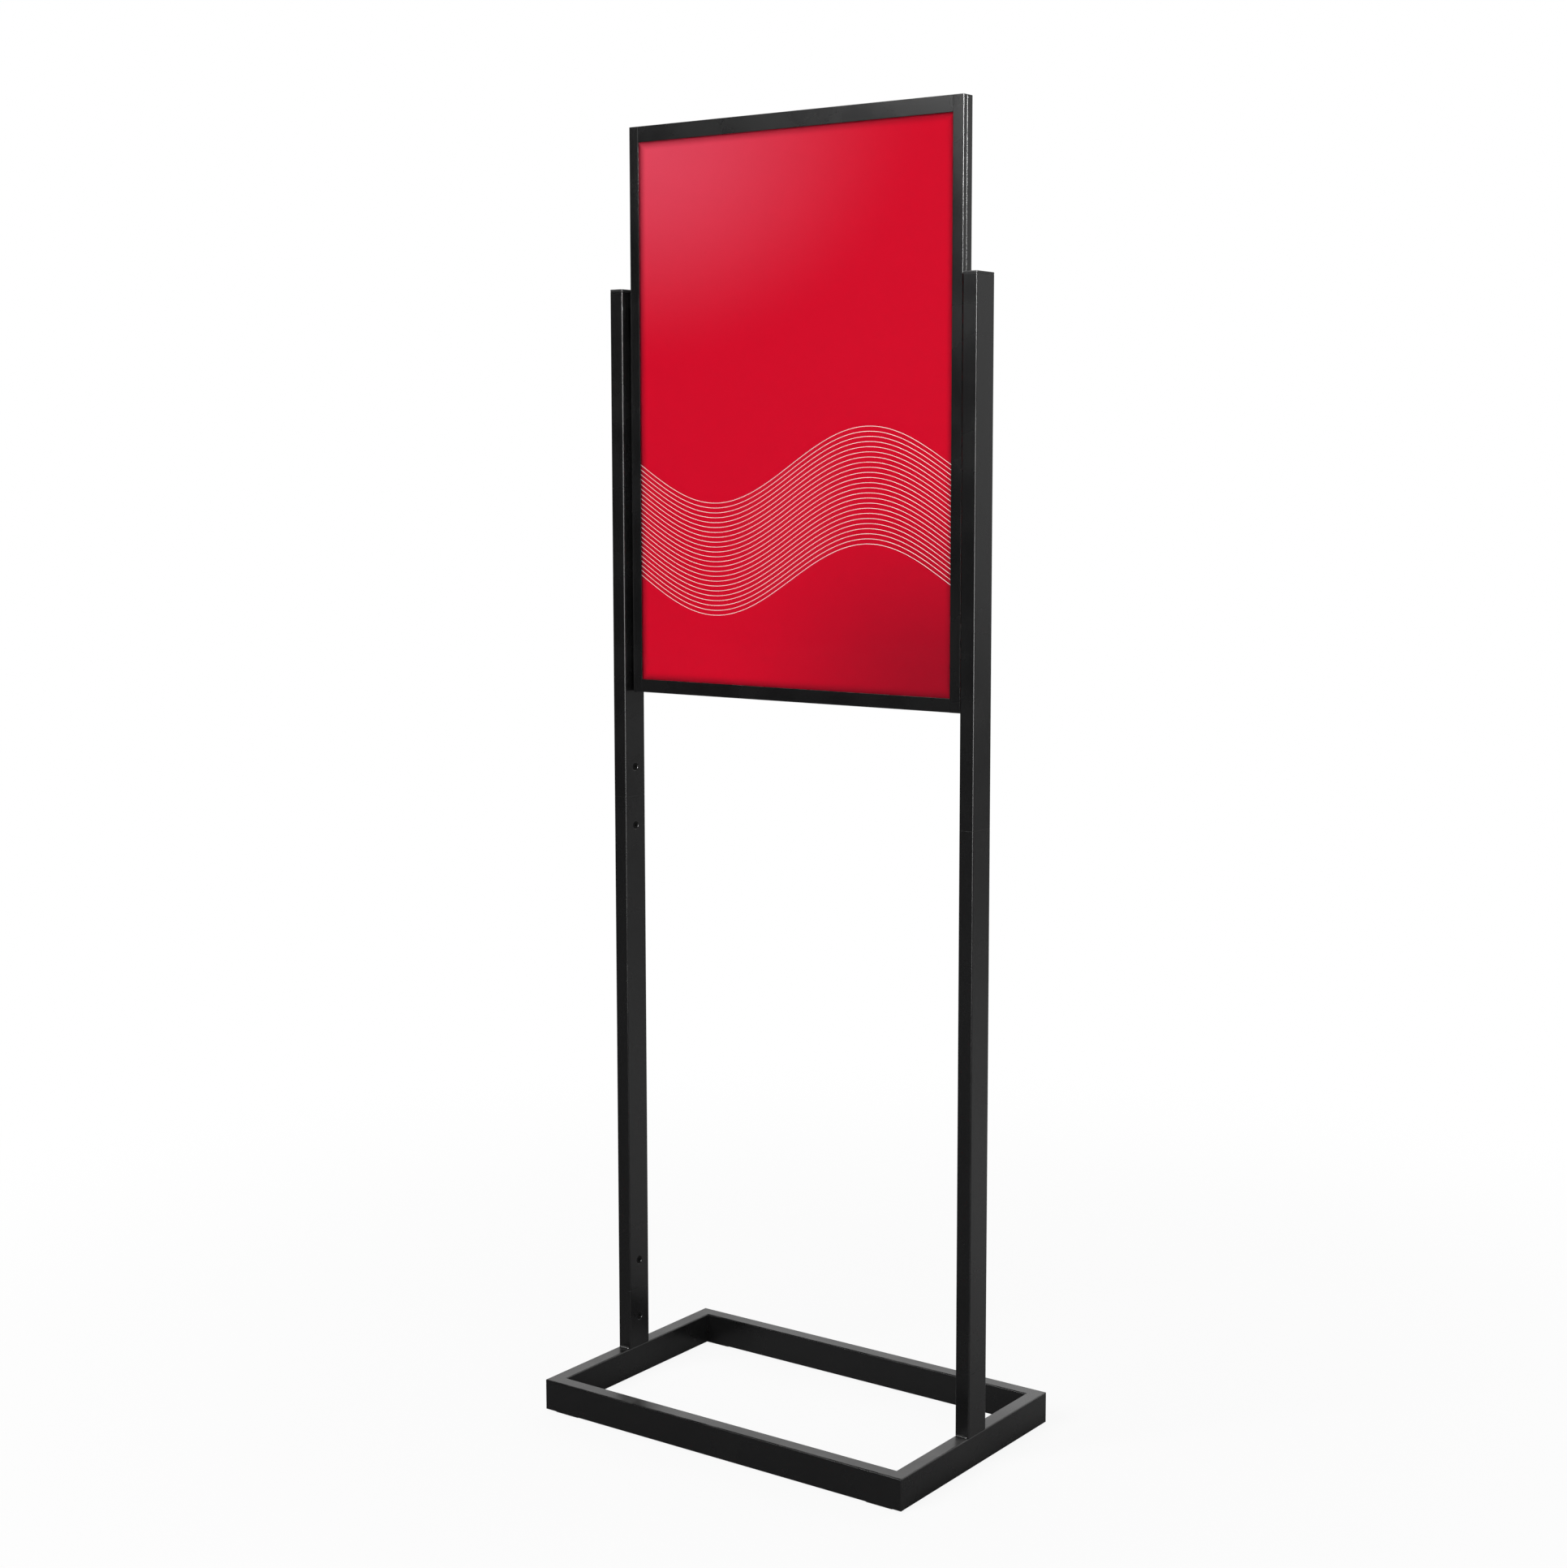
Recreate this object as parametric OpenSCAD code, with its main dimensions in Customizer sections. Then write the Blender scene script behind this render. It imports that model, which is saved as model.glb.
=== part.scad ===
// Free-standing poster stand: a flat open tube base, two sectional posts and a slim frame
// between them that takes posters and cover sheets from the top.
// Millimetres. X runs along the poster, Y from front to back, Z up.
// The origin is on the floor, at the middle of the base.
// The poster's size drives the frame, and the frame drives the distance between the posts.

/* [Poster and sheets] */
// Width of a poster
poster_w = 500; // [380:1:700]
// Height of a poster
poster_h = 707; // [560:1:1000]
// Thickness of a poster
poster_t = 0.3; // [0.2:0.05:0.4]
// Gap between the side edge of a poster and the back of the channel
poster_side = 1.3; // [0.5:0.1:3]
// How much of the poster the top lips cover
top_overlap = 3.4; // [2:0.1:10]
// Thickness of a cover sheet
cover_t = 1; // [0.8:0.1:1.2]
// How far the covers and the divider stand above a poster
cover_rise = 8; // [0:1:16]
// Gap between the side edge of a cover or the divider and the back of the channel
cover_side = 1; // [0.5:0.1:3]
// Thickness of the divider board
divider_t = 1.5; // [1:0.1:1.6]
// Gap between the lower edge of the sheets and the bottom of the slot
sheet_seat = 0.2; // [0.1:0.1:1]

/* [Base] */
// Overall depth of the base, along Y
base_d = 340; // [250:1:500]
// Thickness of the rubber pads under the base
pad_t = 1.5; // [1:0.5:4]
// Width of a rubber pad, across its rail
pad_w = 14; // [8:1:16]
// Length of a rubber pad, along its rail
pad_l = 40; // [20:1:60]
// Radius on the corners of a pad
pad_r = 3; // [1:0.5:4]
// Gap from the base's corner to the end of a pad
pad_inset = 14; // [4:1:40]
// Radius on the ground vertical corners of the base
base_corner_r = 2.5; // [1:0.5:4]

/* [Tube] */
// Narrow side of the tube that makes the base and the posts
tube_w = 20; // [16:1:30]
// Wide side of the same tube
tube_h = 40; // [30:1:60]
// Wall of the tube
tube_t = 1.5; // [1:0.1:2]
// Outside corner radius of the tube
tube_r = 2; // [1:0.25:3]

/* [Posts] */
// Height of the stub on the base
stub_h = 80; // [65:1:120]
// Length of a lower post
lower_post_l = 671; // [300:1:900]
// Length of an upper post
upper_post_l = 657; // [560:1:900]
// Thickness of the flange of a post cap
cap_t = 3; // [2:0.5:6]
// Depth of the plug under the cap's flange
cap_plug_h = 14; // [8:1:30]
// Wall of the cap's plug
cap_wall = 2; // [1:0.5:4]
// Length of the sleeve inside each post joint
sleeve_l = 110; // [100:1:160]
// Wall of the sleeve
sleeve_t = 1.5; // [1:0.1:2.5]
// Outside corner radius of the sleeve
sleeve_r = 1; // [0.5:0.25:2]
// Gap between the sleeve, or a cap's plug, and the post's inner walls
sleeve_clear = 0.2; // [0.1:0.05:0.4]

/* [Joint screws] */
// Distance of each screw from its joint
screw_pitch = 39; // [30:1:44]
// Diameter of the countersink in the post's face
sink_d = 11; // [9:0.5:13]
// Thread diameter of the screws
screw_d = 6; // [4:1:8]
// Length of a screw, from the top of its head
screw_l = 10; // [8:1:12]
// Depth of the head below the post's face
head_recess = 0.4; // [0.2:0.1:1]
// Depth of the cone under the head
head_cone_h = 2; // [1.5:0.1:2.5]
// Clearance round the head and in the nut
screw_clear = 0.05; // [0.02:0.01:0.1]
// Hexagon socket, across its corners
socket_d = 4.6; // [3:0.1:6]
// Depth of the hexagon socket
socket_h = 1.6; // [1:0.1:2]
// Radius of the hole in the sleeve
sleeve_hole_r = 4.5; // [4:0.1:6]
// Nut, across its corners
nut_d = 11.5; // [10:0.1:14]
// Thickness of the nut
nut_h = 5; // [3:0.1:8]

/* [Poster frame] */
// Height of the frame that stands between the posts, below their tops
frame_grip = 520.5; // [300:0.5:550]
// Gap between the frame and each post
post_gap = 5.5; // [3:0.5:12]
// Face width of the side members
stile_w = 15; // [12:1:25]
// Face height of the bottom member
bottom_h = 17; // [14:1:30]
// Face height of the top member
top_h = 20; // [14:1:30]
// Sheet thickness of the channel
channel_t = 1.2; // [0.8:0.1:1.5]
// Clear width of the slot for the sheets
slot_w = 5.6; // [5.6:0.1:8]
// Outside bend radius of the channel
channel_r = 1.8; // [1.3:0.1:3]
// Depth of the tube behind the channel
back_d = 12; // [10:1:20]
// Wall of the tube behind the channel
back_t = 1.2; // [0.8:0.1:2]
// Outside corner radius of the tube behind the channel
back_r = 1.5; // [1:0.25:2.5]
// Thickness of the plate that closes an end of a rear side tube
plug_t = 1.5; // [1:0.5:3]
// Depth of the plug behind that plate
plug_h = 10; // [6:1:20]
// Height of a spacer between the frame and a post
spacer_h = 40; // [20:1:80]
// Distance of the upper spacers below the top of the posts
spacer_drop = 20; // [10:1:60]
// Leg of the weld bead at the foot of a stub
foot_weld = 3; // [2:0.5:4]
// Leg of the weld bead at a spacer
spacer_weld = 2; // [1:0.5:3]

/* [Hidden] */
$fn = 48;
eps = 0.01;
HEX = 6;
SIDES = [["left", -1], ["right", 1]];
ENDS = [["front", -1], ["rear", 1]];
LEVELS = ["lower", "upper"];

frame_w = poster_w + 2 * (poster_side + channel_t);
frame_h = channel_t + sheet_seat + poster_h - top_overlap + top_h;
base_l = frame_w + 2 * (post_gap + tube_w);

rail_z = pad_t;
base_top_z = rail_z + tube_h;
post_x = base_l / 2 - tube_w / 2;
lower_joint_z = base_top_z + stub_h;
upper_joint_z = lower_joint_z + lower_post_l;
post_end_z = upper_joint_z + upper_post_l;
joint_z = [lower_joint_z, upper_joint_z];

frame_z = post_end_z + cap_t - frame_grip;
frame_top_z = frame_z + frame_h;
inner_x = frame_w / 2 - stile_w;
channel_d = slot_w + 2 * channel_t;
frame_d = channel_d + back_d;
frame_y = -frame_d / 2;
back_y = frame_y + channel_d;
spacer_y = back_y + back_d / 2;
spacer_d = back_d - 2 * back_r;
spacer_z = [frame_z, post_end_z - spacer_drop - spacer_h];

slot_y = frame_y + channel_t;
slot_bottom_z = frame_z + channel_t;
sheet_z = slot_bottom_z + sheet_seat;
cover_w = frame_w - 2 * (channel_t + cover_side);
cover_h = poster_h + cover_rise;
SHEET_GAPS = 6;
sheet_gap = (slot_w - 2 * cover_t - 2 * poster_t - divider_t) / SHEET_GAPS;
front_poster_y = slot_y + cover_t + 2 * sheet_gap;
divider_y = front_poster_y + poster_t + sheet_gap;
rear_poster_y = divider_y + divider_t + sheet_gap;
rear_cover_y = rear_poster_y + poster_t + sheet_gap;

black = [0.07, 0.07, 0.075];
rubber = [0.03, 0.03, 0.03];
steel = [0.45, 0.45, 0.47];
red = [0.72, 0.02, 0.07];
board = [0.12, 0.12, 0.12];
clear = [0.85, 0.9, 0.95, 0.3];

// ---- profiles ----

// A rectangle with round corners, centred
module round_rect(w, d, r) {
    square([w - 2 * r, d], center = true);
    square([w, d - 2 * r], center = true);
    for (x = [-1, 1], y = [-1, 1])
        translate([x * (w / 2 - r), y * (d / 2 - r)])
            circle(r);
}

// The section of a rectangular tube, centred
module tube_section(w, d, r, t) {
    difference() {
        round_rect(w, d, r);
        square([w - 2 * t, d - 2 * t], center = true);
    }
}

// The section of the frame's channel: its back at x = 0, its mouth towards +X, front face at y = 0
module channel_section(face) {
    difference() {
        intersection() {
            translate([face, channel_d / 2])
                round_rect(2 * face, channel_d, channel_r);
            square([face, channel_d]);
        }
        translate([channel_t, channel_t])
            square([face, slot_w]);
    }
}

// Puts its children on one side of the stand: as drawn on the right (s = 1), mirrored on the left
module on_side(s) {
    mirror([s < 0 ? 1 : 0, 0, 0])
        children();
}

// ---- base ----

// The outline of the base seen from above, solid
module base_outline() {
    round_rect(base_l, base_d, base_corner_r);
}

// A front or rear rail: a tube along X with both ends mitred; e is -1 in front, 1 behind
module long_rail(e) {
    hl = base_l / 2;
    hd = e * base_d / 2;
    in_d = hd - e * tube_w;
    color(black)
        intersection() {
            translate([-hl, hd - e * tube_w / 2, rail_z + tube_h / 2])
                rotate([90, 0, 90])
                    linear_extrude(base_l)
                        tube_section(tube_w, tube_h, tube_r, tube_t);
            translate([0, 0, rail_z])
                linear_extrude(tube_h)
                    intersection() {
                        base_outline();
                        polygon([[-hl, hd], [hl, hd], [hl - tube_w, in_d], [tube_w - hl, in_d]]);
                    }
        }
}

// A side rail: a tube along Y with both ends mitred; s is -1 on the left, 1 on the right
module short_rail(s) {
    hl = s * base_l / 2;
    hd = base_d / 2;
    in_l = hl - s * tube_w;
    color(black)
        intersection() {
            translate([hl - s * tube_w / 2, hd, rail_z + tube_h / 2])
                rotate([90, 0, 0])
                    linear_extrude(base_d)
                        tube_section(tube_w, tube_h, tube_r, tube_t);
            translate([0, 0, rail_z])
                linear_extrude(tube_h)
                    intersection() {
                        base_outline();
                        polygon([[hl, -hd], [hl, hd], [in_l, hd - tube_w], [in_l, tube_w - hd]]);
                    }
        }
}

// A rubber pad under the end of a long rail
module pad(s, e) {
    color(rubber)
        translate([s * (base_l / 2 - pad_inset - pad_l / 2), e * (base_d / 2 - tube_w / 2), 0])
            linear_extrude(pad_t)
                round_rect(pad_l, pad_w, pad_r);
}

// The short upright welded on a side rail
module post_stub(s) {
    color(black)
        difference() {
            translate([s * post_x, 0, base_top_z])
                linear_extrude(lower_joint_z - base_top_z)
                    tube_section(tube_w, tube_h, tube_r, tube_t);
            post_sink(s, lower_joint_z - screw_pitch);
        }
}

// A quarter-round bead, its corner on the X axis, laid along +X
module bead(leg, length) {
    rotate([90, 0, 90])
        linear_extrude(length)
            intersection() {
                circle(leg);
                square(leg);
            }
}

// Weld beads in front of and behind each stub
module foot_welds() {
    run = tube_w - 2 * tube_r;
    color(black)
        for (s = SIDES, e = ENDS)
            translate([s[1] * post_x, e[1] * tube_h / 2, base_top_z])
                mirror([0, e[1] < 0 ? 1 : 0, 0])
                    translate([-run / 2, 0, 0])
                        bead(foot_weld, run);
}

// ---- posts ----

// The conical seat of one joint screw, cut through a post's inner wall
module post_sink(s, z) {
    on_side(s)
        translate([base_l / 2 - tube_w, 0, z])
            rotate([0, 90, 0])
                translate([0, 0, -eps])
                    cylinder(h = tube_t + 2 * eps, r1 = sink_d / 2 + eps,
                             r2 = sink_d / 2 - tube_t - eps);
}

// A length of post between two heights, with the screw seats near its ends
module post_length(s, from_z, to_z, sinks) {
    color(black)
        difference() {
            translate([s * post_x, 0, from_z])
                linear_extrude(to_z - from_z)
                    tube_section(tube_w, tube_h, tube_r, tube_t);
            for (z = sinks)
                post_sink(s, z);
        }
}

module lower_post(s) {
    post_length(s, lower_joint_z, upper_joint_z,
                [lower_joint_z + screw_pitch, upper_joint_z - screw_pitch]);
}

module upper_post(s) {
    post_length(s, upper_joint_z, post_end_z, [upper_joint_z + screw_pitch]);
}

// The cap that closes the top of a post: a flange and a hollow plug
module post_cap(s) {
    plug_w = tube_w - 2 * tube_t - 2 * sleeve_clear;
    plug_d = tube_h - 2 * tube_t - 2 * sleeve_clear;
    color(black)
        translate([s * post_x, 0, post_end_z]) {
            linear_extrude(cap_t)
                round_rect(tube_w, tube_h, tube_r);
            translate([0, 0, -cap_plug_h])
                linear_extrude(cap_plug_h)
                    difference() {
                        square([plug_w, plug_d], center = true);
                        square([plug_w - 2 * cap_wall, plug_d - 2 * cap_wall], center = true);
                    }
        }
}

// The tube inside a post joint, with a hole for each of its two screws
module sleeve(s, z) {
    w = tube_w - 2 * tube_t - 2 * sleeve_clear;
    d = tube_h - 2 * tube_t - 2 * sleeve_clear;
    color(steel)
        difference() {
            translate([s * post_x, 0, z - sleeve_l / 2])
                linear_extrude(sleeve_l)
                    tube_section(w, d, sleeve_r, sleeve_t);
            for (k = [-1, 1])
                on_side(s)
                    translate([base_l / 2 - tube_w + tube_t - eps, 0, z + k * screw_pitch])
                        rotate([0, 90, 0])
                            cylinder(h = sleeve_clear + sleeve_t + 2 * eps, r = sleeve_hole_r);
        }
}

// Places children at every joint screw: x = 0 on the post's inner face, +X into the post
module at_screws() {
    for (s = SIDES, z = joint_z, k = [-1, 1])
        on_side(s[1])
            translate([base_l / 2 - tube_w, 0, z + k * screw_pitch])
                children();
}

// Countersunk screws with a hexagon socket
module joint_screws() {
    head_r = sink_d / 2 - head_recess - screw_clear;
    color(black)
        at_screws()
            rotate([0, 90, 0])
                translate([0, 0, head_recess])
                    difference() {
                        union() {
                            cylinder(h = head_cone_h, r1 = head_r, r2 = head_r - head_cone_h);
                            cylinder(h = screw_l, r = screw_d / 2);
                        }
                        translate([0, 0, -eps])
                            cylinder(h = socket_h + eps, d = socket_d, $fn = HEX);
                    }
}

// Nuts welded inside the sleeves
module joint_nuts() {
    color(steel)
        at_screws()
            rotate([0, 90, 0])
                translate([0, 0, tube_t + sleeve_clear + sleeve_t])
                    difference() {
                        cylinder(h = nut_h, d = nut_d, $fn = HEX);
                        translate([0, 0, -eps])
                            cylinder(h = nut_h + 2 * eps, r = screw_d / 2 + screw_clear);
                    }
}

// ---- poster frame ----

// A side channel, which runs the full height of the frame
module side_channel(s) {
    color(black)
        mirror([s > 0 ? 1 : 0, 0, 0])
            translate([-frame_w / 2, frame_y, frame_z])
                linear_extrude(frame_h)
                    channel_section(stile_w);
}

// The bottom channel, between the side channels, with its mouth upwards
module channel_bottom() {
    color(black)
        translate([inner_x, frame_y, frame_z])
            rotate([0, -90, 0])
                linear_extrude(2 * inner_x)
                    channel_section(bottom_h);
}

// A flat strip that closes the front or the back of the slot at the top
module top_lip(y) {
    color(black)
        translate([-inner_x, y, frame_top_z - top_h])
            cube([2 * inner_x, channel_t, top_h]);
}

// A tube behind a side channel
module rear_side_tube(s) {
    color(black)
        translate([s * (frame_w / 2 - stile_w / 2), back_y + back_d / 2, frame_z + plug_t])
            linear_extrude(frame_h - 2 * plug_t)
                tube_section(stile_w, back_d, back_r, back_t);
}

// A tube across the frame, between the rear side tubes
module rear_cross_tube(z, face) {
    color(black)
        translate([-inner_x, back_y + back_d / 2, z + face / 2])
            rotate([90, 0, 90])
                linear_extrude(2 * inner_x)
                    tube_section(back_d, face, back_r, back_t);
}

// The plug in one end of a rear side tube; up is 1 at the top and -1 at the bottom
module tube_plug(s, up) {
    end_z = up > 0 ? frame_top_z : frame_z;
    fit_w = 2 * (back_t + sleeve_clear);
    color(black)
        translate([s * (frame_w / 2 - stile_w / 2), back_y + back_d / 2, end_z])
            mirror([0, 0, up > 0 ? 1 : 0]) {
                linear_extrude(plug_t)
                    round_rect(stile_w, back_d, back_r);
                translate([0, 0, plug_t])
                    linear_extrude(plug_h)
                        square([stile_w - fit_w, back_d - fit_w], center = true);
            }
}

// A flat bar between a rear side tube and its post
module spacer(s, z) {
    color(black)
        on_side(s)
            translate([frame_w / 2, spacer_y - spacer_d / 2, z])
                cube([post_gap, spacer_d, spacer_h]);
}

// Beads between the ends of the spacers and the posts
module spacer_welds() {
    color(black)
        for (s = SIDES, z = spacer_z, end = [0, 1])
            on_side(s[1])
                translate([frame_w / 2 + post_gap, spacer_y - spacer_d / 2, z + end * spacer_h])
                    mirror([0, 0, end == 0 ? 1 : 0])
                        rotate([0, 0, 90])
                            bead(spacer_weld, spacer_d);
}

// ---- sheets ----

// One flat sheet in the slot
module sheet(w, h, t, y) {
    translate([-w / 2, y, sheet_z])
        cube([w, t, h]);
}

module front_cover() {
    color(clear)
        sheet(cover_w, cover_h, cover_t, slot_y + sheet_gap);
}

module front_poster() {
    color(red)
        sheet(poster_w, poster_h, poster_t, front_poster_y);
}

module divider_board() {
    color(board)
        sheet(cover_w, cover_h, divider_t, divider_y);
}

module rear_poster() {
    color(red)
        sheet(poster_w, poster_h, poster_t, rear_poster_y);
}

module rear_cover() {
    color(clear)
        sheet(cover_w, cover_h, cover_t, rear_cover_y);
}

long_rail(-1);  // base_front_rail
long_rail(1);  // base_rear_rail
short_rail(-1);  // base_left_rail
short_rail(1);  // base_right_rail
for (s = SIDES, e = ENDS)
    pad(s[1], e[1]);
for (s = SIDES) {
    post_stub(s[1]);
    lower_post(s[1]);
    upper_post(s[1]);
    post_cap(s[1]);
    side_channel(s[1]);
    rear_side_tube(s[1]);
}
for (s = SIDES, i = [0, 1]) {
    sleeve(s[1], joint_z[i]);
    tube_plug(s[1], 2 * i - 1);
    spacer(s[1], spacer_z[i]);
}
foot_welds();
joint_screws();
joint_nuts();
channel_bottom();
top_lip(frame_y);  // top_front_lip
top_lip(slot_y + slot_w);  // top_rear_lip
rear_cross_tube(frame_z, bottom_h);  // rear_tube_bottom
rear_cross_tube(frame_top_z - top_h, top_h);  // rear_tube_top
spacer_welds();
front_cover();
front_poster();
divider_board();
rear_poster();
rear_cover();
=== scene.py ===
# %% [markdown]
# # A poster stand on two posts
#
# This lesson dresses a free-standing poster stand: a rectangular base of steel tube, two posts in two
# lengths each, and a slim frame that holds two posters back to back behind clear covers.
# The engineering model already has every part at its true size, so nothing here moves or resizes a part.
# What is left is what the eye judges: finishes, softened edges, weld beads, print and light.

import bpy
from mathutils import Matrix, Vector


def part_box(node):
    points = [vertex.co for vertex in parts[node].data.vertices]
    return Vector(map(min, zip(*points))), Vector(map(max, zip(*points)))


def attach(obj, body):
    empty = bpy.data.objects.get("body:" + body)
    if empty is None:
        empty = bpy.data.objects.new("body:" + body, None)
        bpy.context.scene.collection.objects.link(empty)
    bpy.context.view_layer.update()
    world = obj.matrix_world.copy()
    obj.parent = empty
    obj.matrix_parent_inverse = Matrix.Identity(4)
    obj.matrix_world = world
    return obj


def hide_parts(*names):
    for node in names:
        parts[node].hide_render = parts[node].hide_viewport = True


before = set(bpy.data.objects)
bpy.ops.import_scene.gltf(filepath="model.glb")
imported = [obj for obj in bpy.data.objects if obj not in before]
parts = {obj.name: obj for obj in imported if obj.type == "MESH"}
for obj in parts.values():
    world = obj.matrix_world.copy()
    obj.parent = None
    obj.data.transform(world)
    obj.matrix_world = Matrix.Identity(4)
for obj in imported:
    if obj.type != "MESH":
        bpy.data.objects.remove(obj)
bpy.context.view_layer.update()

# %% Libraries and shorthand
import math

import bmesh
import bpy
from mathutils import Vector

scene = bpy.context.scene
MM = 0.001

# %% [markdown]
# ## The camera
#
# The stand is seen from its right, a little above the middle of the poster, through a portrait lens.
# A longer lens from further off would flatten the base; this one keeps its four rails clearly in perspective.
# A small shift centres the tall object without tilting the posts out of true.

# %% Camera
CAMERA_PLACE = (1.813, -2.509, 1.2255)
TURN = 35.38  # degrees from straight in front, towards the stand's right
DIP = 6.24  # degrees below level

lens = bpy.data.cameras.new("camera")
lens.sensor_width = 36
lens.lens = 56.8
lens.shift_x = -0.0194
lens.shift_y = -0.0300
camera = bpy.data.objects.new("camera", lens)
camera.location = CAMERA_PLACE
camera.rotation_euler = (math.radians(90 - DIP), 0, math.radians(TURN))
scene.collection.objects.link(camera)
scene.camera = camera
print("camera stands", round(Vector(CAMERA_PLACE).length, 2), "m from the middle of the base")

# %% [markdown]
# ## Shader helpers
#
# A material is a small network of nodes. Writing it in code is easier to read when one helper adds a node
# and wires its inputs in the same line, and another does a sum. Both return something to plug in further on.

# %% Node helpers
def put(tree, kind, inputs=None, **settings):
    """Add a node. inputs maps a socket's name or number to a value, or to the socket that feeds it."""
    node = tree.nodes.new(kind)
    for key, value in settings.items():
        setattr(node, key, value)
    for key, value in (inputs or {}).items():
        if isinstance(value, bpy.types.NodeSocket):
            tree.links.new(value, node.inputs[key])
        else:
            node.inputs[key].default_value = value
    return node


def calc(tree, operation, first, second=0.0, third=0.0):
    """One step of arithmetic on numbers or sockets."""
    inputs = {0: first, 1: second, 2: third}
    return put(tree, "ShaderNodeMath", inputs, operation=operation).outputs[0]


def ramp(tree, value, low, high, start=0.0, end=1.0):
    """Ease from start to end while value goes from low to high."""
    inputs = {"Value": value, "From Min": low, "From Max": high, "To Min": start, "To Max": end}
    return put(tree, "ShaderNodeMapRange", inputs, interpolation_type="SMOOTHSTEP").outputs[0]


def blend_colour(tree, share, first, second):
    """Mix two colours; share 0 gives the first."""
    inputs = {"Factor": share, "A": first, "B": second}
    return put(tree, "ShaderNodeMix", inputs, data_type="RGBA").outputs["Result"]


print("node helpers ready")

# %% [markdown]
# ## Shared surface effects
#
# Real finishes are never even: powder coat has a fine orange-peel ripple, edges are lighter, partly from
# rubbing and partly as a painted highlight, and dust settles on what faces up. Each effect is a node group
# with named sockets, built once and reused with other numbers, so that every finish on the stand gets them in
# the same way.

# %% Node group helper
def new_group(name, inputs, outputs):
    """An empty shader node group: inputs is {name: default}, outputs is a list of names."""
    group = bpy.data.node_groups.new(name, "ShaderNodeTree")
    for label, default in inputs.items():
        socket = group.interface.new_socket(name=label, in_out="INPUT", socket_type="NodeSocketFloat")
        socket.default_value = default
    for label in outputs:
        group.interface.new_socket(name=label, in_out="OUTPUT", socket_type="NodeSocketFloat")
    return group, group.nodes.new("NodeGroupInput"), group.nodes.new("NodeGroupOutput")


def use_group(tree, group, **values):
    """Place a group in a material with its own values."""
    return put(tree, "ShaderNodeGroup", {k.replace("_", " "): v for k, v in values.items()}, node_tree=group)


print("group helpers ready")

# %% Surface grain: a fine ripple and a broad blotch
grain_inputs = {"Grain Size": 0.001, "Blotch Size": 0.08}
grain_group, given, result = new_group("surface_grain", grain_inputs, ["Ripple", "Blotch"])
place = put(grain_group, "ShaderNodeTexCoord").outputs["Object"]
for label, source, detail in (("Ripple", "Grain Size", 2.0), ("Blotch", "Blotch Size", 4.0)):
    scale = calc(grain_group, "DIVIDE", 1.0, given.outputs[source])
    noise = put(grain_group, "ShaderNodeTexNoise", {"Vector": place, "Scale": scale, "Detail": detail})
    grain_group.links.new(noise.outputs[0], result.inputs[label])
print("surface_grain gives", [s.name for s in result.inputs if s.name])

# %% Edge rub and painted highlight: a mask that is 1 on rounded-over edges, where the colour is lightened
rub_highlight_group, given, result = new_group("edge_rub_and_highlight", {"Radius": 0.001, "Softness": 0.25}, ["Mask"])
rounded = put(rub_highlight_group, "ShaderNodeBevel", {"Radius": given.outputs["Radius"]}, samples=4).outputs[0]
facing = put(rub_highlight_group, "ShaderNodeNewGeometry").outputs["Normal"]
likeness = put(rub_highlight_group, "ShaderNodeVectorMath", {0: rounded, 1: facing}, operation="DOT_PRODUCT")
turned = calc(rub_highlight_group, "SUBTRACT", 1.0, likeness.outputs["Value"])
mask = calc(rub_highlight_group, "DIVIDE", turned, given.outputs["Softness"])
mask = put(rub_highlight_group, "ShaderNodeClamp", {"Value": mask}).outputs[0]
rub_highlight_group.links.new(mask, result.inputs["Mask"])
print("edge_rub_and_highlight is ready")

# %% Dust: a patchy mask on surfaces that face up
dust_group, given, result = new_group("dust", {"Amount": 0.3, "Patch Size": 0.03}, ["Mask"])
facing = put(dust_group, "ShaderNodeNewGeometry").outputs["Normal"]
upward = ramp(dust_group, put(dust_group, "ShaderNodeSeparateXYZ", {0: facing}).outputs["Z"], 0.5, 1.0)
place = put(dust_group, "ShaderNodeTexCoord").outputs["Object"]
scale = calc(dust_group, "DIVIDE", 1.0, given.outputs["Patch Size"])
patches = put(dust_group, "ShaderNodeTexNoise", {"Vector": place, "Scale": scale, "Detail": 5.0}).outputs[0]
patches = ramp(dust_group, patches, 0.35, 0.7)
dusty = calc(dust_group, "MULTIPLY", calc(dust_group, "MULTIPLY", upward, patches), given.outputs["Amount"])
dust_group.links.new(dusty, result.inputs["Mask"])
print("dust is ready")

# %% [markdown]
# ## Floor, sky and lamps
#
# Glossy black shows the room more than it shows itself, so the room is designed first. Behind the stand a
# broad white backdrop gives the side faces and the tops of the rails their grey sheen. In front the room
# stays dim, which keeps the front faces deep black, and one large softbox lights the print. Two smaller
# boxes stand to the right: one gives the frame's rounded corner its thin line of light and nothing else.

# %% Floor
FLOOR_RADIUS = 14
PAGE_WHITE = 1.0
FLOOR_DIM = 0.17  # how bright the floor looks in reflections, in front of the stand
FLOOR_BRIGHT = 0.88  # and behind it

floor_mesh = bpy.data.meshes.new("floor")
disc = bmesh.new()
bmesh.ops.create_circle(disc, cap_ends=True, segments=128, radius=FLOOR_RADIUS)
disc.to_mesh(floor_mesh)
disc.free()
floor = bpy.data.objects.new("floor", floor_mesh)
scene.collection.objects.link(floor)

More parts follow.
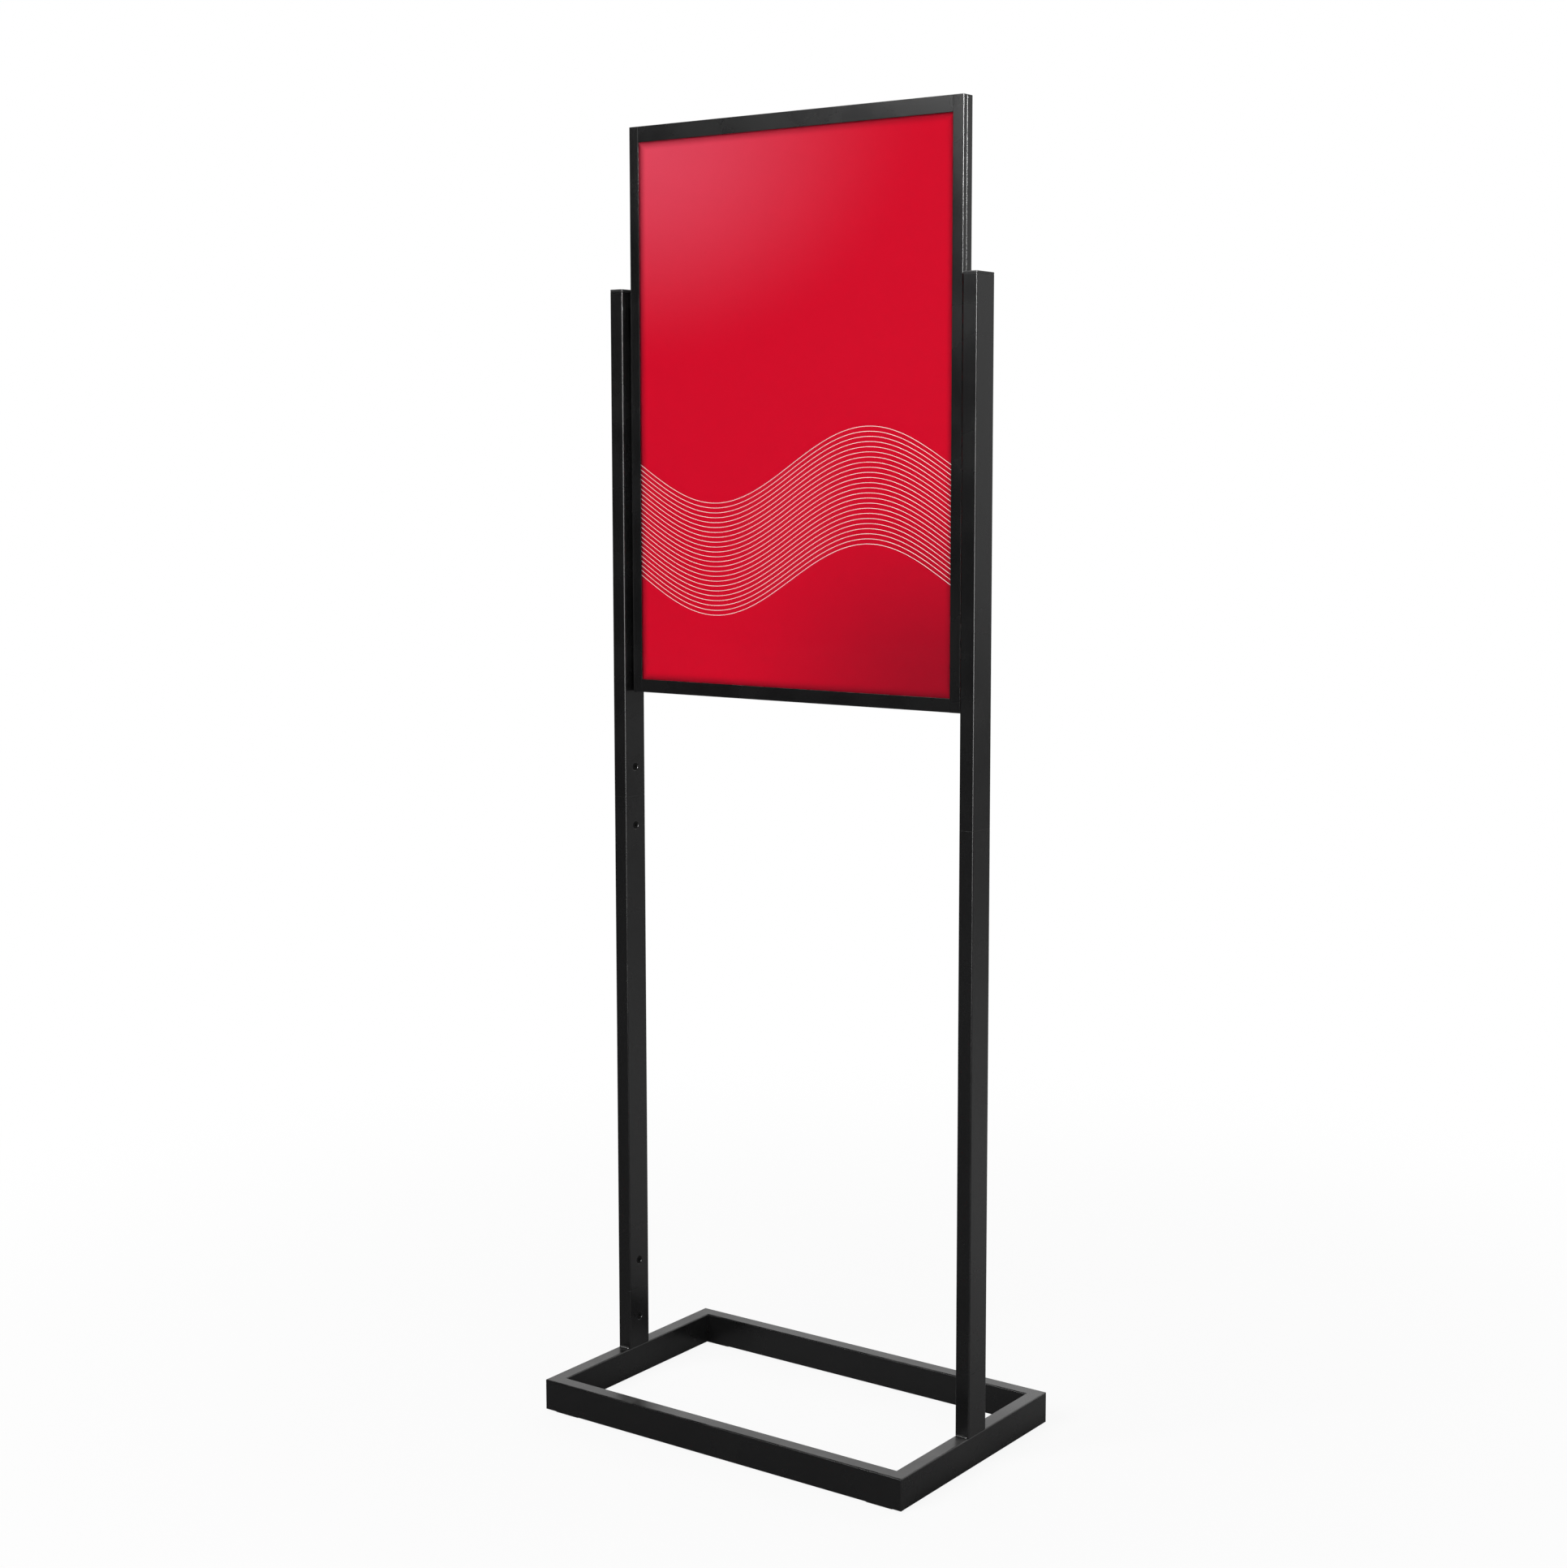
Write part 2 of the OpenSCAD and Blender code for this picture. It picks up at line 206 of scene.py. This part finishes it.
floor_paint = bpy.data.materials.new("studio_floor")
floor_paint.use_nodes = True
tree = floor_paint.node_tree
tree.nodes.clear()
middle_of_floor = put(tree, "ShaderNodeTexCoord").outputs["Object"]
back_to_front = put(tree, "ShaderNodeSeparateXYZ", {0: middle_of_floor})
mirrored = ramp(tree, back_to_front.outputs["Y"], -0.6, 1.4, FLOOR_DIM, FLOOR_BRIGHT)
ray = put(tree, "ShaderNodeLightPath")
dimming = calc(tree, "MULTIPLY_ADD", ray.outputs["Is Glossy Ray"], calc(tree, "SUBTRACT", mirrored, 1.0), 1.0)
pale = blend_colour(tree, dimming, (0, 0, 0, 1), (0.86, 0.86, 0.86, 1))
matt = put(tree, "ShaderNodeBsdfDiffuse", {"Color": pale})
lightbox = put(tree, "ShaderNodeEmission", {"Color": (1, 1, 1, 1), "Strength": PAGE_WHITE})
far_off = put(tree, "ShaderNodeVectorMath", {0: middle_of_floor}, operation="LENGTH").outputs["Value"]
glowing = calc(tree, "MULTIPLY", ray.outputs["Is Camera Ray"], ramp(tree, far_off, 0.4, 2.0, 0.9, 1.0))
covering = put(tree, "ShaderNodeMixShader", {0: glowing, 1: matt.outputs[0], 2: lightbox.outputs[0]})
put(tree, "ShaderNodeOutputMaterial", {"Surface": covering.outputs[0]})
floor_mesh.materials.append(floor_paint)
print("floor is", 2 * FLOOR_RADIUS, "m across")

# %% Backdrop light from all round
DIM_FRONT = 0.02
BRIGHT_BACK = 0.53
RAISED = 2.4

world = bpy.data.worlds.new("studio")
scene.world = world
world.use_nodes = True
tree = world.node_tree
tree.nodes.clear()
toward = put(tree, "ShaderNodeSeparateXYZ", {0: put(tree, "ShaderNodeTexCoord").outputs["Generated"]})
room = ramp(tree, toward.outputs["Y"], 0.35, 0.85, DIM_FRONT, BRIGHT_BACK)
room = calc(tree, "MULTIPLY", room, ramp(tree, toward.outputs["Z"], 0.05, 0.4, 1.0, RAISED))
seen_directly = put(tree, "ShaderNodeLightPath").outputs["Is Camera Ray"]
brightness = put(tree, "ShaderNodeMix", {"Factor": seen_directly, "A": room, "B": PAGE_WHITE})
shade = put(tree, "ShaderNodeBackground", {"Color": (1, 1, 1, 1), "Strength": brightness.outputs["Result"]})
put(tree, "ShaderNodeOutputWorld", {"Surface": shade.outputs[0]})
scene.view_settings.view_transform = "Standard"
print("room brightness from", DIM_FRONT, "to", BRIGHT_BACK)

# %% Softboxes
def softbox(name, turn, rise, distance, width, height, power, aim=(0, 0, 1.0), lights_print=True):
    """A lamp at turn degrees left of straight in front and rise degrees up; some only make highlights."""
    lamp = bpy.data.lights.new(name, "AREA")
    lamp.shape = "RECTANGLE"
    lamp.size = width
    lamp.size_y = height
    lamp.energy = power
    holder = bpy.data.objects.new(name, lamp)
    level = distance * math.cos(math.radians(rise))
    offset = (-level * math.sin(math.radians(turn)), -level * math.cos(math.radians(turn)))
    holder.location = Vector(aim) + Vector((*offset, distance * math.sin(math.radians(rise))))
    holder.rotation_euler = (Vector(aim) - holder.location).to_track_quat("-Z", "Y").to_euler()
    holder.visible_camera = False
    holder.visible_diffuse = lights_print
    scene.collection.objects.link(holder)
    return holder


softbox("key_softbox", turn=14, rise=29, distance=5.6, width=3.1, height=3.2, power=255, aim=(0, 0, 1.2))
softbox("edge_softbox", turn=-64, rise=18, distance=4.8, width=1.0, height=0.7, power=450, lights_print=False)
softbox("low_softbox", turn=-50, rise=2, distance=4.2, width=2.4, height=1.0, power=75, aim=(0, 0, 0.55))
softbox("overhead_softbox", turn=180, rise=80, distance=3.4, width=2.4, height=1.6, power=30)

# %% [markdown]
# ## Finishes
#
# All steel on the stand is sprayed with black powder and baked. The coat is an almost black plastic skin with
# a semi-gloss shine, so its look is carried by roughness and a fine ripple rather than by colour.
# The other finishes follow the same recipe: grain for the ripple, rub and a painted highlight for the edges,
# dust for what faces up.

# %% A recipe for solid finishes
BLOTCH_SIZE = 0.09
DUST_PATCH = 0.025
DUST_COLOUR = (0.20, 0.195, 0.19, 1)
DUST_ROUGHENS = 0.35


def solid_finish(name, colour, rub_and_highlight_colour, roughness, grain=0.0012, ripple=0.00006, rub_and_highlight=0.5,
                 rub_highlight_radius=0.0012, dust=0.25, metal=0.0, shine=0.5):
    """A painted, moulded or plated surface with edges lightened by rub and a painted highlight; colours are
    linear grey or RGB.
    """
    material = bpy.data.materials.new(name)
    material.use_nodes = True
    tree = material.node_tree
    tree.nodes.clear()
    grainy = use_group(tree, grain_group, Grain_Size=grain, Blotch_Size=BLOTCH_SIZE)
    edge = use_group(tree, rub_highlight_group, Radius=rub_highlight_radius, Softness=0.2).outputs["Mask"]
    dusty = use_group(tree, dust_group, Amount=dust, Patch_Size=DUST_PATCH).outputs["Mask"]
    # Edges take the second colour: partly real wear, partly a painted highlight.
    worn_and_highlit = calc(tree, "MULTIPLY", calc(tree, "MULTIPLY", edge, grainy.outputs["Blotch"]), 2 * rub_and_highlight)
    base = blend_colour(tree, worn_and_highlit, (*colour, 1), (*rub_and_highlight_colour, 1))
    base = blend_colour(tree, dusty, base, DUST_COLOUR)
    uneven = ramp(tree, grainy.outputs["Blotch"], 0.3, 0.7, roughness - 0.04, roughness + 0.05)
    rough = calc(tree, "MULTIPLY_ADD", dusty, DUST_ROUGHENS, uneven)
    relief = {"Strength": 0.5, "Distance": ripple, "Height": grainy.outputs["Ripple"]}
    bump = put(tree, "ShaderNodeBump", relief)
    skin = {"Base Color": base, "Roughness": rough, "Metallic": metal, "Normal": bump.outputs[0]}
    shader = put(tree, "ShaderNodeBsdfPrincipled", {**skin, "Specular IOR Level": shine})
    put(tree, "ShaderNodeOutputMaterial", {"Surface": shader.outputs[0]})
    return material


# The second colour of each finish is for its edges: worn and with a painted highlight.
powder_coat = solid_finish("black_powder_coat", (0.0041, 0.0041, 0.0043), (0.013, 0.013, 0.0135), 0.25)
cap_plastic = solid_finish("black_cap_plastic", (0.014, 0.014, 0.014), (0.03, 0.03, 0.03), 0.42, grain=0.0006)
screw_black = solid_finish("black_oxide", (0.003, 0.003, 0.003), (0.01, 0.01, 0.01), 0.6,
                           grain=0.0004, rub_highlight_radius=0.0004, shine=0.08)
zinc = solid_finish("zinc_plate", (0.55, 0.56, 0.58), (0.7, 0.7, 0.7), 0.3, grain=0.0008, dust=0.1, metal=1.0)
rubber = solid_finish("pad_rubber", (0.02, 0.02, 0.02), (0.04, 0.04, 0.04), 0.8, grain=0.0005, ripple=0.0002)
board = solid_finish("divider_board", (0.72, 0.72, 0.7), (0.8, 0.8, 0.8), 0.6, grain=0.0006, dust=0.1)
print("six solid finishes")

# %% [markdown]
# ## The clear cover
#
# The posters sit behind thin clear plastic. Full glass would bend light through two faces a millimetre apart
# and leave the print in shadow, so the sheet is built as a window: it lets light straight through and
# only adds the reflection that its surface would give, more of it at a glancing angle.
# Only the outside of a face reflects; from within, a slanting ray would meet a mirror that is not there.

# %% Clear plastic
clear_plastic = bpy.data.materials.new("clear_cover")
clear_plastic.use_nodes = True
tree = clear_plastic.node_tree
tree.nodes.clear()
haze = use_group(tree, grain_group, Grain_Size=0.02, Blotch_Size=0.15)
shine = ramp(tree, haze.outputs["Blotch"], 0.3, 0.7, 0.03, 0.07)
window = put(tree, "ShaderNodeBsdfTransparent", {"Color": (0.985, 0.99, 0.99, 1)})
gloss = put(tree, "ShaderNodeBsdfGlossy", {"Color": (0.8, 0.8, 0.8, 1), "Roughness": shine})
outside = calc(tree, "SUBTRACT", 1.0, put(tree, "ShaderNodeNewGeometry").outputs["Backfacing"])
glance = calc(tree, "MULTIPLY", put(tree, "ShaderNodeFresnel", {"IOR": 1.45}).outputs[0], outside)
sheet = put(tree, "ShaderNodeMixShader", {0: glance, 1: window.outputs[0], 2: gloss.outputs[0]})
put(tree, "ShaderNodeOutputMaterial", {"Surface": sheet.outputs[0]})
print("clear plastic ready")

# %% [markdown]
# ## The printed poster
#
# The print is a red sheet. Painted into its colour are a highlight at its upper left, shade at its lower
# right and a soft dark margin of painted shadow where the frame shades it. All of that is worked out from the
# distance to the visible opening, so it needs no picture. The lines on top are a separate piece.

# %% The opening through which the print shows
opening_low = Vector((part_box("channel_left")[1].x, 0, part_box("channel_bottom")[1].z))
opening_high = Vector((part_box("channel_right")[0].x, 0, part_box("top_front_lip")[0].z))
opening_w = opening_high.x - opening_low.x
opening_h = opening_high.z - opening_low.z
print(f"visible print {1000 * opening_w:.0f} x {1000 * opening_h:.0f} mm")


# %% Paper with painted highlight and shade, and ink
# The print's red, then the colours of the painted highlight, the painted shade and the painted frame shadow.
RED = (0.56, 0.0012, 0.017, 1)
HIGHLIGHT_PINK = (0.64, 0.055, 0.095, 1)
SHADE_RED = (0.27, 0.002, 0.012, 1)
FRAME_SHADE_RED = (0.16, 0.002, 0.010, 1)


def poster_paper_with_painted_light(name, reading):
    """Red print with a painted highlight, painted shade and a painted frame shadow; reading is 1 for a sheet
    read from the front and -1 from the back.
    """
    material = bpy.data.materials.new(name)
    material.use_nodes = True
    tree = material.node_tree
    tree.nodes.clear()
    place = put(tree, "ShaderNodeSeparateXYZ", {0: put(tree, "ShaderNodeTexCoord").outputs["Object"]})
    across = calc(tree, "MULTIPLY", place.outputs["X"], reading)
    up = place.outputs["Z"]

    def reach(x, z, width, height):
        """Distance from the point (x, z), as a share of an ellipse's half axes."""
        dx = calc(tree, "DIVIDE", calc(tree, "SUBTRACT", across, x), width)
        dz = calc(tree, "DIVIDE", calc(tree, "SUBTRACT", up, z), height)
        total = calc(tree, "ADD", calc(tree, "POWER", dx, 2.0), calc(tree, "POWER", dz, 2.0))
        return calc(tree, "SQRT", total)

    # Painted highlight at the upper left and painted shade at the lower right.
    from_top_left = reach(opening_low.x, opening_high.z, 0.95 * opening_w, 0.42 * opening_h)
    from_low_right = reach(opening_high.x, opening_low.z, 0.8 * opening_w, 0.4 * opening_h)
    painted_highlight = ramp(tree, from_top_left, 0.0, 1.0, 1.0, 0.0)
    painted_shade = ramp(tree, from_low_right, 0.0, 1.0, 1.0, 0.0)
    # Painted shadow of the frame along the edges of the opening.
    side = calc(tree, "SUBTRACT", opening_high.x, calc(tree, "ABSOLUTE", across))
    foot = calc(tree, "SUBTRACT", up, opening_low.z)
    head = calc(tree, "SUBTRACT", opening_high.z, up)
    ends = calc(tree, "MINIMUM", foot, head)
    painted_frame_shade = ramp(tree, calc(tree, "MINIMUM", side, ends), -2 * MM, 11 * MM, 1.0, 0.0)
    # The red takes the painted highlight, the painted shade and the painted frame shadow in turn.
    colour = blend_colour(tree, calc(tree, "MULTIPLY", painted_highlight, 0.95), RED, HIGHLIGHT_PINK)
    colour = blend_colour(tree, calc(tree, "MULTIPLY", painted_shade, 0.9), colour, SHADE_RED)
    colour = blend_colour(tree, calc(tree, "MULTIPLY", painted_frame_shade, 0.8), colour, FRAME_SHADE_RED)
    fibres = use_group(tree, grain_group, Grain_Size=0.0005, Blotch_Size=0.2)
    smooth = ramp(tree, fibres.outputs["Blotch"], 0.3, 0.7, 0.6, 0.7)
    relief = {"Strength": 0.2, "Distance": 0.03 * MM, "Height": fibres.outputs["Ripple"]}
    bump = put(tree, "ShaderNodeBump", relief)
    skin = {"Base Color": colour, "Roughness": smooth, "Normal": bump.outputs[0]}
    shader = put(tree, "ShaderNodeBsdfPrincipled", {**skin, "Specular IOR Level": 0.04})
    put(tree, "ShaderNodeOutputMaterial", {"Surface": shader.outputs[0]})
    return material


front_paper_with_painted_light = poster_paper_with_painted_light("front_print_with_painted_light", 1)
rear_paper_with_painted_light = poster_paper_with_painted_light("rear_print_with_painted_light", -1)
white_ink = solid_finish("white_ink", (0.9, 0.9, 0.9), (0.9, 0.9, 0.9), 0.5,
                         grain=0.0005, ripple=0.00002, rub_and_highlight=0, dust=0)
print("paper and ink ready")

# %% Give every part its finish
FINISHES = {
    "post_cap": cap_plastic, "tube_plug": cap_plastic, "joint_screws": screw_black, "joint_nuts": zinc,
    "sleeve": zinc, "pad": rubber, "front_cover": clear_plastic, "rear_cover": clear_plastic,
    "front_poster": front_paper_with_painted_light, "rear_poster": rear_paper_with_painted_light, "divider_board": board,
}


def finish_for(name):
    """The finish of a part by the start of its name; everything else is powder coated steel."""
    for start, material in FINISHES.items():
        if name.startswith(start):
            return material
    return powder_coat


for name, part in parts.items():
    part.data.materials.clear()
    part.data.materials.append(finish_for(name))
print(len(parts), "parts have a finish")

# %% [markdown]
# ## Softened edges
#
# Nothing that was sawn, punched or moulded has a razor edge, and a thin line of light on the edge is what
# tells the eye so. A bevel modifier cuts the sharp edges after the flat triangles have been joined up,
# and leaves the engineering mesh underneath untouched.

# %% Bevel modifiers
EDGE_RADIUS = {
    "post_stub": 0.4, "lower_post": 0.4, "upper_post": 0.4, "post_cap": 0.6, "channel": 0.5, "top_": 0.5,
    "rear_tube": 0.3, "spacer_lower": 0.3, "spacer_upper": 0.3, "pad": 0.3, "front_cover": 0.2,
    "rear_cover": 0.2, "joint_screws": 0.15, "joint_nuts": 0.2, "tube_plug": 0.3, "divider_board": 0.2,
}
WELD_WITHIN = 0.01 * MM


def soften(part, width):
    """Weld the split corners, merge flat triangles and round the sharp edges by width mm."""
    part.modifiers.new("weld", "WELD").merge_threshold = WELD_WITHIN
    flat = part.modifiers.new("flatten", "DECIMATE")
    flat.decimate_type = "DISSOLVE"
    flat.angle_limit = math.radians(0.5)
    edge = part.modifiers.new("edge", "BEVEL")
    edge.width = width * MM
    edge.segments = 2
    edge.limit_method = "ANGLE"
    edge.angle_limit = math.radians(40)
    edge.use_clamp_overlap = False


for name, part in parts.items():
    for start, width in EDGE_RADIUS.items():
        if name.startswith(start):
            soften(part, width)
print(sum(1 for part in parts.values() if part.modifiers), "parts have softened edges")

# %% [markdown]
# ## Even shading
#
# The rounded corners of the tubes are made of a few flat strips. Shaded one by one they glint like facets,
# and shaded all together they pull the light on the wide faces out of true. The cure has two steps: mark
# only true corners as sharp, then let each wide face decide the direction of the light at its own border.

# %% Sharp only at true corners
TRUE_CORNER = math.radians(35)

shading = bpy.data.node_groups.new("true_corners", "GeometryNodeTree")
shading.interface.new_socket(name="Mesh", in_out="INPUT", socket_type="NodeSocketGeometry")
shading.interface.new_socket(name="Mesh", in_out="OUTPUT", socket_type="NodeSocketGeometry")
angle = put(shading, "GeometryNodeInputMeshEdgeAngle").outputs["Unsigned Angle"]
corner = put(shading, "FunctionNodeCompare", {0: angle, 1: TRUE_CORNER}, operation="GREATER_THAN").outputs[0]
entry = put(shading, "NodeGroupInput").outputs[0]
marked = {"Mesh": entry, "Remove Custom": True, "Edge Sharpness": corner, "Face Sharpness": False}
marking = put(shading, "GeometryNodeSetMeshNormal", marked, mode="SHARPNESS")
put(shading, "NodeGroupOutput", {0: marking.outputs[0]})

for part in parts.values():
    if not part.modifiers:
        part.modifiers.new("weld", "WELD").merge_threshold = WELD_WITHIN
    part.modifiers.new("true_corners", "NODES").node_group = shading
    even = part.modifiers.new("even_light", "WEIGHTED_NORMAL")
    even.keep_sharp = True
    even.weight = 90
print("even shading on", len(parts), "parts")

# %% [markdown]
# ## Printed lines
#
# The print carries a plain pattern: a band of fine white lines, all the same gentle sine wave, one above the
# other at even steps. Drawn as a picture on the surface, lines this thin would blur when it is saved, so each
# is a strip of ink a few hundredths of a millimetre thick.

# %% The shape of one line
LINES = 24
INK_WIDTH = 0.5 * MM
INK_DEPTH = 0.02 * MM
LEVEL = 0.3  # middle of the band, as a share of the opening's height
SWING = 0.1  # swing of each line, as a share of the opening's width
BAND = 0.3  # height of the whole band, as a share of the same


def wave_height(x, share):
    """Height of a line at x, for a share of the way from the lowest line of the band to the highest."""
    swing = SWING * math.sin(2 * math.pi * x / opening_w)
    return opening_low.z + LEVEL * opening_h + opening_w * (swing + BAND * (share - 0.5))


print(f"{LINES} lines, {1000 * BAND * opening_w / (LINES - 1):.1f} mm apart")


# %% Ink strips on the paper
STEPS = 150  # straight pieces along one line
SHEET_MARGIN = 0.5 * MM  # the lines stop this far from the sheet's edges


def ink_strip(mesh, line, paper_y, outward, reading, half_width):
    """One line as a closed strip of ink standing on the paper; outward is -1 on the front face."""
    share = line / (LINES - 1)
    rings = []
    for i in range(STEPS + 1):
        x = half_width * (2 * i / STEPS - 1)
        slope = (wave_height(x + MM, share) - wave_height(x - MM, share)) / (2 * MM)
        side = Vector((-slope, 1)).normalized() * INK_WIDTH / 2
        ring = []
        for across, depth in ((-1, 0), (1, 0), (1, 1), (-1, 1)):
            spot = (reading * (x + across * side.x), paper_y + outward * depth * INK_DEPTH,
                    wave_height(x, share) + across * side.y)
            ring.append(mesh.verts.new(spot))
        rings.append(ring)
    for one, two in zip(rings, rings[1:]):
        for a, b in ((0, 1), (1, 2), (2, 3), (3, 0)):
            mesh.faces.new((one[a], one[b], two[b], two[a]))
    mesh.faces.new(rings[0])
    mesh.faces.new(rings[-1][::-1])


def as_object(name, mesh, material):
    """Turn a finished bmesh into an object in the scene."""
    bmesh.ops.recalc_face_normals(mesh, faces=mesh.faces)
    data = bpy.data.meshes.new(name)
    mesh.to_mesh(data)
    mesh.free()
    data.materials.append(material)
    made = bpy.data.objects.new(name, data)
    scene.collection.objects.link(made)
    return made


def printed_art(name, poster, outward):
    """The whole band of lines on the outer face of a poster node."""
    low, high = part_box(poster)
    paper_y = low.y if outward < 0 else high.y
    mesh = bmesh.new()
    for line in range(LINES):
        ink_strip(mesh, line, paper_y, outward, -outward, high.x - SHEET_MARGIN)
    art = as_object(name, mesh, white_ink)
    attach(art, f"{poster}_body")
    print(name, "has", len(art.data.polygons), "faces")
    return art


printed_art("front_art", "front_poster", -1)
printed_art("rear_art", "rear_poster", 1)

# %% [markdown]
# ## Weld beads
#
# Each post stands on its rail in two short fillet welds, and the frame hangs on its spacers in the same way.
# A weld bead is a row of small overlapping puddles, so its surface steps like a stack of coins laid
# over. Sweeping a quarter round while its size pulses gives that directly in the mesh.

# %% A rippled bead
PUDDLE = 1.6 * MM
RINGS_PER_PUDDLE = 6
ARC_STEPS = 7


def bead(mesh, start, along, out, up, leg):
    """A fillet weld from start along a vector, filling the corner between the out and up directions."""
    puddles = max(3, round(along.length / PUDDLE))
    stations = puddles * RINGS_PER_PUDDLE
    rings = []
    for i in range(stations + 1):
        share = i / stations
        puddle = (share * puddles) % 1.0
        swell = 1.0 - 0.16 * puddle ** 2
        taper = (1.0 - abs(2 * share - 1) ** 8) ** 0.5 * 0.75 + 0.25
        size = leg * swell * taper
        centre = start + along * share
        ring = [mesh.verts.new(centre)]
        for k in range(ARC_STEPS + 1):
            angle = math.pi / 2 * k / ARC_STEPS
            ring.append(mesh.verts.new(centre + size * (out * math.cos(angle) + up * math.sin(angle))))
        rings.append(ring)
    count = ARC_STEPS + 2
    for one, two in zip(rings, rings[1:]):
        for k in range(count):
            face = mesh.faces.new((one[k], one[(k + 1) % count], two[(k + 1) % count], two[k]))
            face.smooth = 1 <= k <= ARC_STEPS
    mesh.faces.new(rings[0][::-1])
    mesh.faces.new(rings[-1])


def bead_piece(name, node, runs):
    """Build beads from (start, along, out, up, leg) runs and let them stand for a plain node."""
    mesh = bmesh.new()
    for run in runs:
        bead(mesh, *run)
    piece = as_object(name, mesh, powder_coat)
    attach(piece, "stand")
    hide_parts(node)
    print(name, "has", len(runs), "beads")
    return piece


# %% Welds at the feet
weld_low, weld_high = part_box("foot_welds")
stub_low, stub_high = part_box("post_stub_right")
foot_leg = weld_high.z - stub_low.z
foot_run = 2 * (weld_high.x - (stub_low.x + stub_high.x) / 2)
foot_runs = []
for side in (-1, 1):
    for end in (-1, 1):
        middle = side * (stub_low.x + stub_high.x) / 2
        start = Vector((middle - foot_run / 2, end * stub_high.y, stub_low.z))
        foot_runs.append((start, Vector((foot_run, 0, 0)), Vector((0, end, 0)), Vector((0, 0, 1)), foot_leg))
bead_piece("foot_weld_beads", "foot_welds", foot_runs)

# %% Welds at the spacers
weld_low, weld_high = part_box("spacer_welds")
spacer_runs = []
for side, name in ((-1, "left"), (1, "right")):
    for level in ("lower", "upper"):
        low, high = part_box(f"spacer_{level}_{name}")
        if level == "upper":
            spacer_leg = weld_high.z - high.z
        post_x = low.x if side < 0 else high.x
        for z, up in ((low.z, -1), (high.z, 1)):
            spacer_runs.append([Vector((post_x, low.y, z)), Vector((0, high.y - low.y, 0)),
                                Vector((-side, 0, 0)), Vector((0, 0, up))])
spacer_runs = [(*run, spacer_leg) for run in spacer_runs]
bead_piece("spacer_weld_beads", "spacer_welds", spacer_runs)
